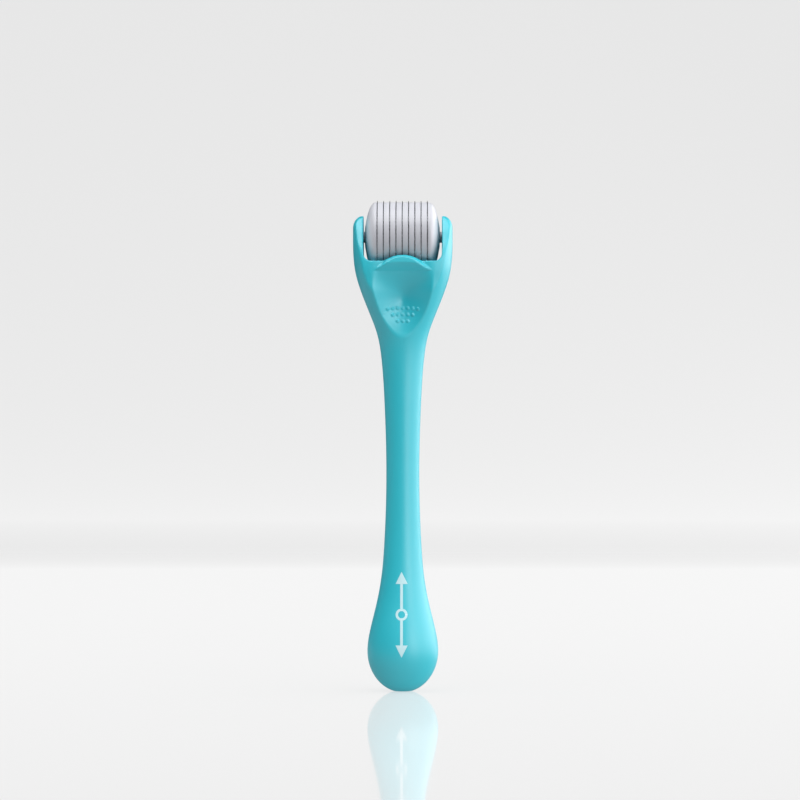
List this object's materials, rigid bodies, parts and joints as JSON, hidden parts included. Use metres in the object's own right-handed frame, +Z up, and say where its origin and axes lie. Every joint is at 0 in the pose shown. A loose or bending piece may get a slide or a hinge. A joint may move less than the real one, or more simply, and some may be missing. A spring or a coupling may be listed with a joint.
{
  "type": "derma roller",
  "caption": "Hand-held derma roller: a slim handle with a bulb end and a scooped thumb rest, and a fork that holds a free-rolling drum of fine needles.",
  "frame": {"origin": "centre of the small flat foot under the bulb end", "axes": "+Z up the handle from the foot to the drum, -Y the side with the thumb rest, X along the drum's axle"},
  "size_m": [0.0284, 0.0216, 0.14],
  "materials": {
    "handle": "soft-touch matte aqua plastic",
    "drum": "white moulded plastic with a satin gloss",
    "needles": "etched stainless sheet, fine satin"
  },
  "bodies": {
    "handle": {"handle_front_shell": "handle", "handle_back_shell": "handle"},
    "drum": {"drum_core": "drum", "drum_end_cap": "drum", "needle_disc_1": "needles", "needle_disc_2": "needles", "needle_disc_3": "needles", "needle_disc_4": "needles", "needle_disc_5": "needles", "needle_disc_6": "needles", "needle_disc_7": "needles", "needle_disc_8": "needles", "needle_disc_9": "needles", "spacer_ring_1": "drum", "spacer_ring_2": "drum", "spacer_ring_3": "drum", "spacer_ring_4": "drum", "spacer_ring_5": "drum", "spacer_ring_6": "drum", "spacer_ring_7": "drum", "spacer_ring_8": "drum"}
  },
  "joints": [
    {"name": "drum_spin", "type": "hinge", "parent": "handle", "child": "drum", "pos_m": [0, 0, 0.1295], "axis": [1, 0, 0], "continuous": true}
  ]
}
